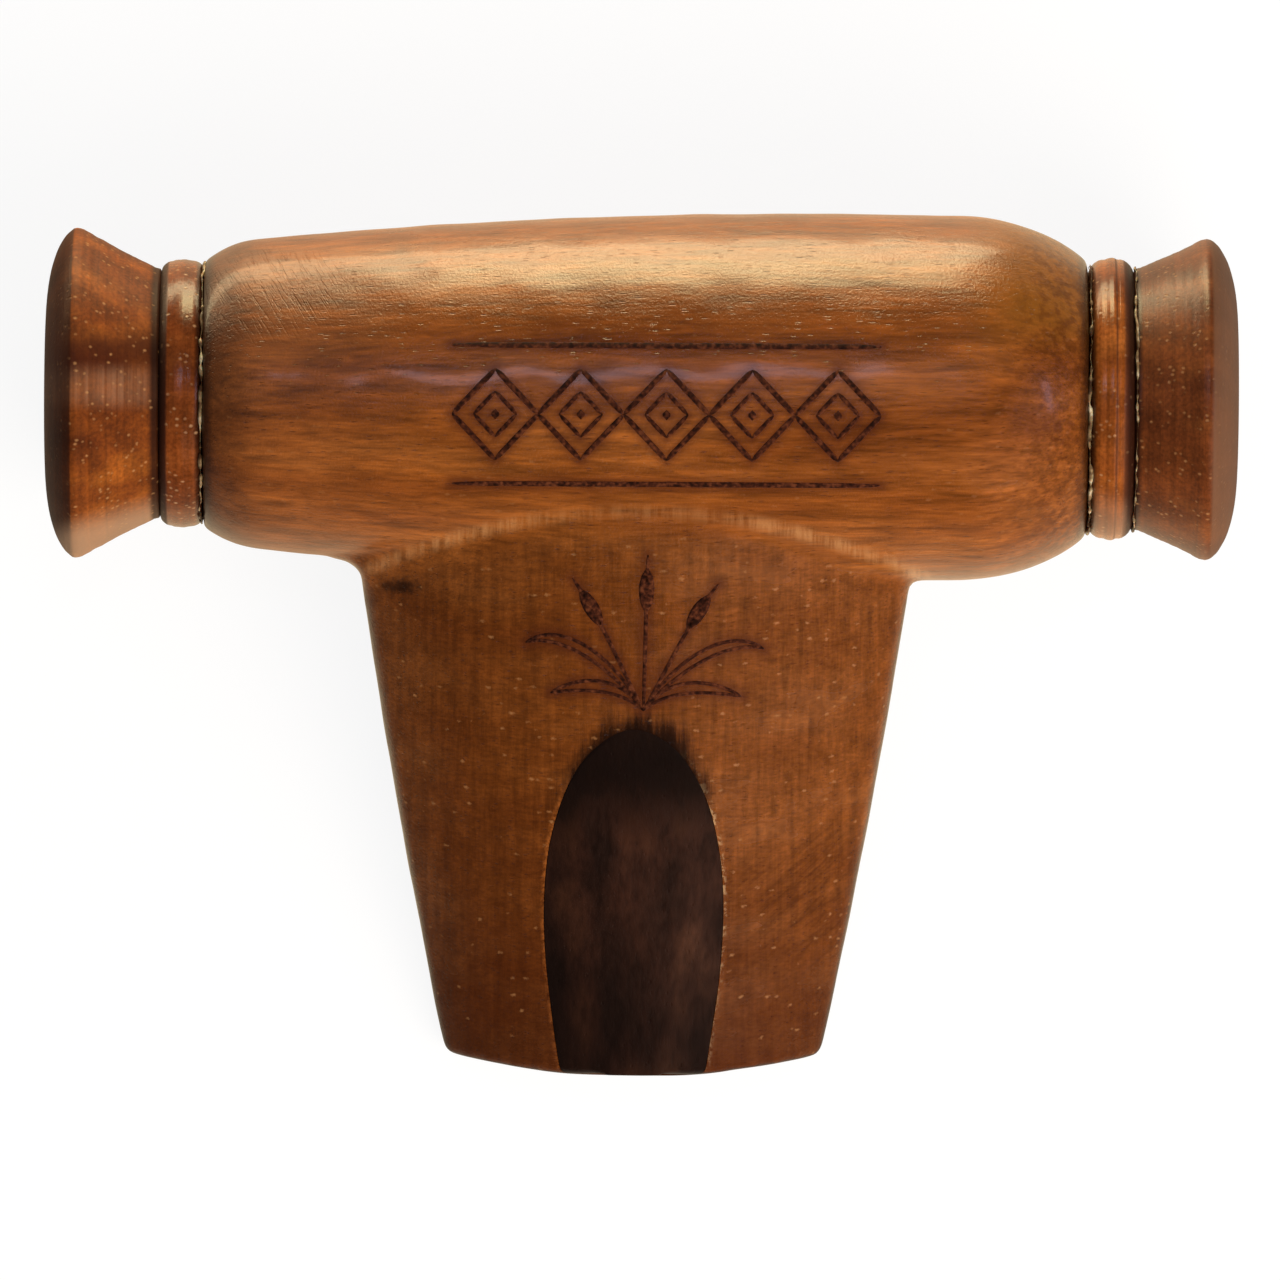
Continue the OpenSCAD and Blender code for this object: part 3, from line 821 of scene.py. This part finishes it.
def dried_glue():
    """Wood glue that squeezed out and dried: cloudy, yellowish white, waxy."""
    material, tree, place = new_material("dried_wood_glue")
    # Patches 1.5 mm long, from dirty brown to nearly white.
    patches = noise(tree, place, 650.0, 3.0, 0.65)
    tone = put(tree, "ShaderNodeValToRGB", {"Fac": patches},
               stops=[(0.42, "#3a2614"), (0.54, "#87704f"), (0.66, "#cdbf9f")])
    return finished(material, tree, tone, 0.35, 1.48,
                    **{"Subsurface Weight": 0.2, "Subsurface Scale": 0.0006})


def natural_cork():
    """Natural cork, ground to a ball: pale tan with darker woody specks and small pits."""
    material, tree, place = new_material("natural_cork")
    # Cells and specks about 0.6 mm across.
    cells = put(tree, "ShaderNodeTexVoronoi", {"Vector": place, "Scale": 1700.0})
    patches = noise(tree, place, 800.0, 4.0, 0.65)
    tone = put(tree, "ShaderNodeValToRGB", {"Fac": patches},
               stops=[(0.34, "#6b4628"), (0.46, "#b98955"), (0.66, "#d3a872")])
    relief = put(tree, "ShaderNodeBump", {
        "Height": cells, "Strength": 0.6, "Distance": 0.1 * MM})
    return finished(material, tree, tone, 0.85, 1.4, relief)


def charred_wood():
    """Wood charred by a burning tool: dark red-brown, dull and slightly crusty."""
    material, tree, place = new_material("charred_wood")
    # Crust in crumbs 0.4 mm across.
    crust = noise(tree, place, 2600.0, 3.0)
    tone = put(tree, "ShaderNodeValToRGB", {"Fac": crust},
               stops=[(0.35, "#1e0b04"), (0.50, "#3a190b"), (0.68, "#5f311a")])
    relief = put(tree, "ShaderNodeBump", {
        "Height": crust, "Strength": 0.8, "Distance": 0.06 * MM})
    return finished(material, tree, tone, 0.75, 1.30, relief)


# The burnt ornament: a lozenge band along the barrel and a spray of reeds on the stem.

def bezier(points, steps):
    """A cubic curve through four control points p: sum of the Bernstein weights
    (1-t)^3, 3t(1-t)^2, 3t^2(1-t), t^3 times p."""
    t = np.linspace(0, 1, steps)[:, None]
    p = np.asarray(points, float)
    return ((1 - t) ** 3 * p[0] + 3 * t * (1 - t) ** 2 * p[1]
            + 3 * t ** 2 * (1 - t) * p[2] + t ** 3 * p[3])


def straight(start, end):
    """A straight stroke with a point every 0.4 mm or so."""
    start, end = np.asarray(start, float), np.asarray(end, float)
    steps = max(3, int(np.linalg.norm(end - start) / 0.4) + 1)
    return start + (end - start) * np.linspace(0, 1, steps)[:, None]


def stroke(path, half):
    """A path with its half width at each point: even, and narrower at its very ends, as
    half * sqrt(1 - 0.92 t^8) with t from -1 to 1."""
    t = np.linspace(-1, 1, len(path))
    return path, half * np.sqrt(np.clip(1 - 0.92 * t ** 8, 0, 1))


def lozenge_band():
    """Two border lines, and between them five lozenges, each with a smaller one and a dot in
    it. The strokes are in mm on the front."""
    left, right, low, high = -15.0, 19.0, 12.8, 23.8
    middle, half_height, pitch, count = (low + high) / 2, 3.6, 6.8, 5
    border_half, lozenge_half, inner_half, dot_half, dot_reach = 0.24, 0.22, 0.17, 0.42, 0.3
    strokes = [stroke(straight((left, y), (right, y)), border_half) for y in (low, high)]
    for number in range(count):
        x = left + pitch * (number + 0.5)
        outer = [(x - pitch / 2, middle), (x, middle + half_height),
                 (x + pitch / 2, middle), (x, middle - half_height)]
        inner = [(x + (cx - x) / 2, middle + (cy - middle) / 2) for cx, cy in outer]
        for corners, half in ((outer, lozenge_half), (inner, inner_half)):
            for a, b in zip(corners, corners[1:] + corners[:1]):
                strokes.append(stroke(straight(a, b), half))
        strokes.append(stroke(straight((x - dot_reach, middle), (x + dot_reach, middle)),
                              dot_half))
    return strokes


def reed_spray():
    """Three stalks that fan out from one foot, each with a seed head, and four long leaves of
    two strokes each. The strokes are in mm on the front."""
    stalk_half, head_half, leaf_half = 0.16, 0.62, 0.15
    foot = np.array([0.3, -5.2])
    strokes = []
    for tip, bend in (((-5.4, 5.3), -1.2), ((0.6, 7.2), 0.2), ((6.2, 4.9), 1.3)):
        tip = np.array(tip)
        way = tip - foot
        path = bezier([foot, foot + way * 0.35 + [bend * 0.2, 0.6],
                       foot + way * 0.7 + [-bend * 0.3, 0.4], tip], 26)
        strokes.append(stroke(path, stalk_half))
        head = path[-11:-3]
        swell = np.sqrt(np.sin(np.linspace(0.12, math.pi - 0.12, len(head))))
        strokes.append((head, head_half * swell))
    for reach, lift, sag in ((-9.4, 1.4, 2.6), (9.6, 1.0, 2.4), (-7.4, -2.6, 1.2),
                             (7.8, -2.8, 1.2)):
        tip = foot + [reach, lift + 4.0]
        for bulge in (0.55, -0.55):
            path = bezier([foot, foot + [reach * 0.25, sag + 1.2 + bulge],
                           foot + [reach * 0.7, lift + 4.4 + sag * 0.4 + bulge], tip], 24)
            strokes.append(stroke(path, leaf_half))
    return strokes


def burnt_lines(body_faces, strokes):
    """The strokes laid on the body. Each is a flat bar: its path is dropped on to the body
    along -Z, and round each point six corners stand across the path and along the surface's
    normal, so that it is 2 half widths wide and stands 0.035 mm proud."""
    across = np.array([-1.0, -0.7, 0.7, 1.0, 0.6, -0.6])
    proud = np.array([0.0, 0.035, 0.035, 0.0, -0.15, -0.15])
    above, down = 0.05, Vector((0, 0, -1))
    points, faces, count = [], [], 0
    for path, half in strokes:
        hits = [body_faces.ray_cast(Vector((x * MM, y * MM, above)), down) for x, y in path]
        place = np.array([h[0] for h in hits]) / MM
        normal = np.array([h[1] for h in hits])
        ahead = np.gradient(place, axis=0)
        side = np.cross(ahead, normal)
        side /= np.linalg.norm(side, axis=1)[:, None]
        ring = (place[:, None] + across[None, :, None] * half[:, None, None] * side[:, None]
                + proud[None, :, None] * normal[:, None])
        points.append(ring.reshape(-1, 3))
        faces += [[count + k for k in face] for face in capped_faces(len(path), len(across))]
        count += len(path) * len(across)
    return surface_mesh("burnt_lines", np.concatenate(points), faces)


def scorch_of(points, strokes):
    """How brown each point of the body is: 0.75 exp(-(d / 0.55)^2), with d its distance in mm
    to the nearest stroke, for points on the front only."""
    marks = np.concatenate([path for path, _ in strokes])
    value = np.zeros(len(points))
    low, high = marks.min(0) - 2, marks.max(0) + 2
    inside = np.flatnonzero(((points[:, :2] > low) & (points[:, :2] < high)).all(1)
                            & (points[:, 2] > AXIS_Z))
    for part in np.array_split(inside, max(1, len(inside) // 4000)):
        gap = np.linalg.norm(points[part, None, :2] - marks[None], axis=2).min(1)
        value[part] = 0.75 * np.exp(-(gap / 0.55) ** 2)
    return value


# The pieces.

def body_and_block():
    """The body with its holes filled is sanded as one blank together with the block, as the
    real one was. Then body and block are parted by the bore, so that they lie flush."""
    filled = BARREL_HALF - 0.1
    blank = worked(
        [merged_copy("tee_body"), bore_filling("bore_filling"),
         window_filling("window_filling"),
         barrel_rod("chamber_filling", BARREL_X - filled, BARREL_X + filled,
                    CHAMBER_R + 0.16)],
        [("REMESH", {"mode": "VOXEL", "voxel_size": 0.36 * MM}),
         ("SMOOTH", {"factor": 0.5, "iterations": 9})])
    hand_worked(blank)
    ramp_run, under, wide = 20.0, -9.0, 20.0
    ramp_far = LIP_Y + ramp_run / math.tan(math.radians(RAMP_ANGLE))
    window = [(MOUTH_Y, BLOCK_FLAT_Z), (MOUTH_Y, under), (ramp_far, LIP_Z - ramp_run),
              (LIP_Y, LIP_Z), (LIP_Y, WINDOW_TOP_Z), (MOUTH_Y, WINDOW_TOP_Z)]
    airway = [(-PAST_ALL, under), (PAST_ALL, under), (PAST_ALL, BLOCK_FLAT_Z),
              (-PAST_ALL, BLOCK_FLAT_Z)]
    body = worked([blank.copy()], [
        cut("DIFFERENCE", barrel_rod("chamber", -PAST_ALL, PAST_ALL, CHAMBER_R)),
        cut("DIFFERENCE", stem_rod("bore", BORE_R)),
        cut("DIFFERENCE", prism("window", window, STEM_X - AIRWAY_HALF,
                                STEM_X + AIRWAY_HALF))])
    block = worked([blank], [
        cut("INTERSECT", stem_rod("block", BLOCK_R)),
        cut("DIFFERENCE", barrel_rod("chamber", -PAST_ALL, PAST_ALL, CHAMBER_R)),
        cut("DIFFERENCE", prism("airway", airway, -wide, wide))])
    return body, block


body_mesh, block_mesh = body_and_block()
strokes = lozenge_band() + reed_spray()
scorch = body_mesh.attributes.new("scorch", "FLOAT", "POINT")
scorch.data.foreach_set("value",
                        scorch_of(points_of(body_mesh), strokes).astype(np.float32))
tee_body = new_piece("sanded_tee_body", body_mesh, oiled_mahogany(), "whistle",
                     ["tee_body"])
body_faces = BVHTree.FromObject(tee_body, bpy.context.evaluated_depsgraph_get())
new_piece("burnt_reed_ornament", burnt_lines(body_faces, strokes), charred_wood(), "whistle")
new_piece("filed_airway_block", block_mesh, dark_walnut(), "whistle",
          ["airway_block"])
for mesh in (body_mesh, block_mesh):
    mesh.set_sharp_from_angle(angle=math.radians(SHARP_ANGLE))

ring_woods = {
    "left": turned_rosewood("left_ring", ("#5a2a0d", "#6c3411", "#85461b"), "#cf9f70",
                            "#2b1108", 0.24, 1.46, heart=0.3),
    "right": turned_rosewood("right_ring", ("#6e3612", "#854517", "#a05a24"), "#cf9f70",
                             "#3a1a0b", 0.24, 1.42, lower_reflection=0.25),
}
# The left bell has lost more of its oil than the right one. It has a painted pale reflection on
# its lower side and a painted sheen across its middle.
bell_woods = {
    "left": turned_rosewood("left_bell", ("#582707", "#70360b", "#8e4c14"), "#c8925c",
                            "#2b1108", 0.55, 1.28, lower_reflection=0.62, heart=0.8, painted_sheen_share=0.70),
    "right": turned_rosewood("right_bell", ("#56280b", "#683310", "#7e4418"), "#c08a55",
                             "#694832", 0.38, 1.48),
}
for end, seed in (("left", 3), ("right", 5)):
    name = f"turned_{end}_ring"
    mesh = turned(name, bead_profile(ENDS[end]), RING_RIPPLE, seed)
    new_piece(name, mesh, ring_woods[end], "whistle", [f"{end}_bead_ring"])
for end, seed in (("left", 7), ("right", 9)):
    name = f"turned_{end}_bell"
    mesh = turned(name, bell_profile(ENDS[end]), BELL_RIPPLE, seed)
    new_piece(name, mesh, bell_woods[end], "whistle", [f"{end}_end_bell"])

glue = dried_glue()
for name, x, radius, thickness, seed in (
        ("glue_left_of_barrel", -BARREL_HALF - 0.1, 10.42, 0.30, 11),
        ("glue_right_of_barrel", BARREL_HALF + 0.15, 10.72, 0.34, 21),
        ("glue_at_right_bell", BARREL_HALF + 3.78, 10.55, 0.22, 31)):
    new_piece(name, glue_line(name, x, radius, thickness, seed), glue, "whistle")

low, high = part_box("cork_pea")
new_piece("cork_ball", cork_ball("cork_ball", (Vector(low) + Vector(high)) / 2 / MM, PEA_R),
          natural_cork(), "pea", ["cork_pea"])


# Floor, light and camera.

def rays_of(tree):
    """Whether a ray is the camera's, and whether it comes by a mirror or through glass."""
    rays = put(tree, "ShaderNodeLightPath").outputs
    mirrored = maths(tree, "MAXIMUM", rays["Is Glossy Ray"], rays["Is Transmission Ray"])
    return rays["Is Camera Ray"], mirrored


def studio_paper():
    """White paper under the whistle. The camera sees it nearly white, and a share of it is lit
    as paper is, so that it keeps the whistle's shadow. Mirror rays see it warm and bright
    within some 50 mm of the barrel's axis, and dim further off."""
    material, tree, place = new_material("white_paper")
    x, y = xyz_of(tree, place)[:2]
    by_camera, mirrored = rays_of(tree)
    share = product(tree, maths(tree, "MAXIMUM", by_camera, mirrored), 0.86)
    beside = eased(tree, away_from(tree, y, AXIS_Y * MM), 0.030, 0.065, 1.0, 0.12)
    endwise = eased(tree, maths(tree, "ABSOLUTE", x), 0.042, 0.056, 1.0, 0.2)
    strength = between(tree, mirrored, 1.04, product(tree, beside, endwise))
    colour = painted(tree, linear("#ffffff"), [(mirrored, "#ffdfb0")])
    paper = put(tree, "ShaderNodeBsdfDiffuse", {"Color": (0.86, 0.86, 0.86, 1)})
    white = put(tree, "ShaderNodeEmission", {"Color": colour, "Strength": strength})
    mixed = put(tree, "ShaderNodeMixShader", {0: share, 1: paper, 2: white})
    put(tree, "ShaderNodeOutputMaterial", {"Surface": mixed})
    return material


def paper_floor(half, depth):
    """A square sheet of paper, 2 half on a side and a little below the whistle, in metres."""
    mesh = bpy.data.meshes.new("floor")
    corners = [(x * half, y * half, -depth) for x, y in ((-1, -1), (1, -1), (1, 1), (-1, 1))]
    mesh.from_pydata(corners, [], [(0, 1, 2, 3)])
    mesh.materials.append(studio_paper())
    floor = bpy.data.objects.new("floor", mesh)
    bpy.context.scene.collection.objects.link(floor)
    return floor


def soft_light(name, place, target, size, watts, colour):
    """A softbox, unseen by the camera, that faces target."""
    lamp = bpy.data.lights.new(name, "AREA")
    lamp.shape = "RECTANGLE"
    lamp.size, lamp.size_y = size
    lamp.energy = watts
    lamp.color = linear(colour)[:3]
    box = bpy.data.objects.new(name, lamp)
    bpy.context.scene.collection.objects.link(box)
    box.location = place
    aim = Vector(target) - Vector(place)
    box.rotation_euler = aim.to_track_quat("-Z", "Y").to_euler()
    box.visible_camera = False
    return box


def studio_room():
    """The room: white to the camera, plain for the light it gives, and for mirror rays pale
    walls near the floor under a dark ceiling."""
    world = bpy.data.worlds.new("studio")
    bpy.context.scene.world = world
    world.use_nodes = True
    room = world.node_tree
    room.nodes.clear()
    by_camera, mirrored = rays_of(room)
    way = put(room, "ShaderNodeTexCoord").outputs["Generated"]
    walls = eased(room, xyz_of(room, way)["Z"], 0.0, 0.20, 0.10, 0.0)
    for_others = between(room, mirrored, 0.30, walls)
    backdrop = put(room, "ShaderNodeBackground", {
        "Color": linear("#ffffff"), "Strength": between(room, by_camera, for_others, 1.0)})
    put(room, "ShaderNodeOutputWorld", {"Surface": backdrop})


def camera_above(view_width, lens, sensor):
    """A camera that looks straight down on the whistle: view_width, in metres, of the plane
    through the barrel's axis fills the frame."""
    camera = bpy.data.objects.new("camera", bpy.data.cameras.new("camera"))
    bpy.context.scene.collection.objects.link(camera)
    camera.data.lens = lens
    camera.data.sensor_width = sensor
    camera.location = (0.0, 0.00044, AXIS_Z * MM + view_width * lens / sensor)
    camera.rotation_euler = (0.0, 0.0, math.radians(0.35))
    bpy.context.scene.camera = camera


floor = paper_floor(3.0, 0.00002)
# Low and warm: a strip beyond the barrel, and the lit paper in front of it.
soft_light("low_strip", (-0.004, 0.26, 0.042), (-0.004, 0.02, 0.02), (0.080, 0.084), 0.29,
           "#ffeaae")
soft_light("lit_paper", (-0.060, 0.137, 0.004), (-0.060, 0.135, 0.30), (0.20, 0.136), 0.75,
           "#ffe6b4")
# The main light, low on the right, which gives colour and form but no mirror image.
main = soft_light("main", (0.30, -0.34, 0.34), (0.0, 0.0, 0.01), (0.50, 0.50), 4.8, "#fff4e4")
main.visible_glossy = False
# A small cool window behind the camera.
soft_light("window", (-0.033, 0.122, 0.46), (0.0, 0.01, 0.02), (0.135, 0.045), 0.14,
           "#d2d2f0")
# Another to the right, which gives the left bell its grey sheen.
soft_light("side_window", (0.30, 0.02, 0.24), (-0.04, 0.02, 0.02), (0.10, 0.03), 0.06,
           "#e4d8ff")
studio_room()
camera_above(view_width=0.1024, lens=600.0, sensor=36.0)
bpy.context.scene.view_settings.view_transform = "Standard"
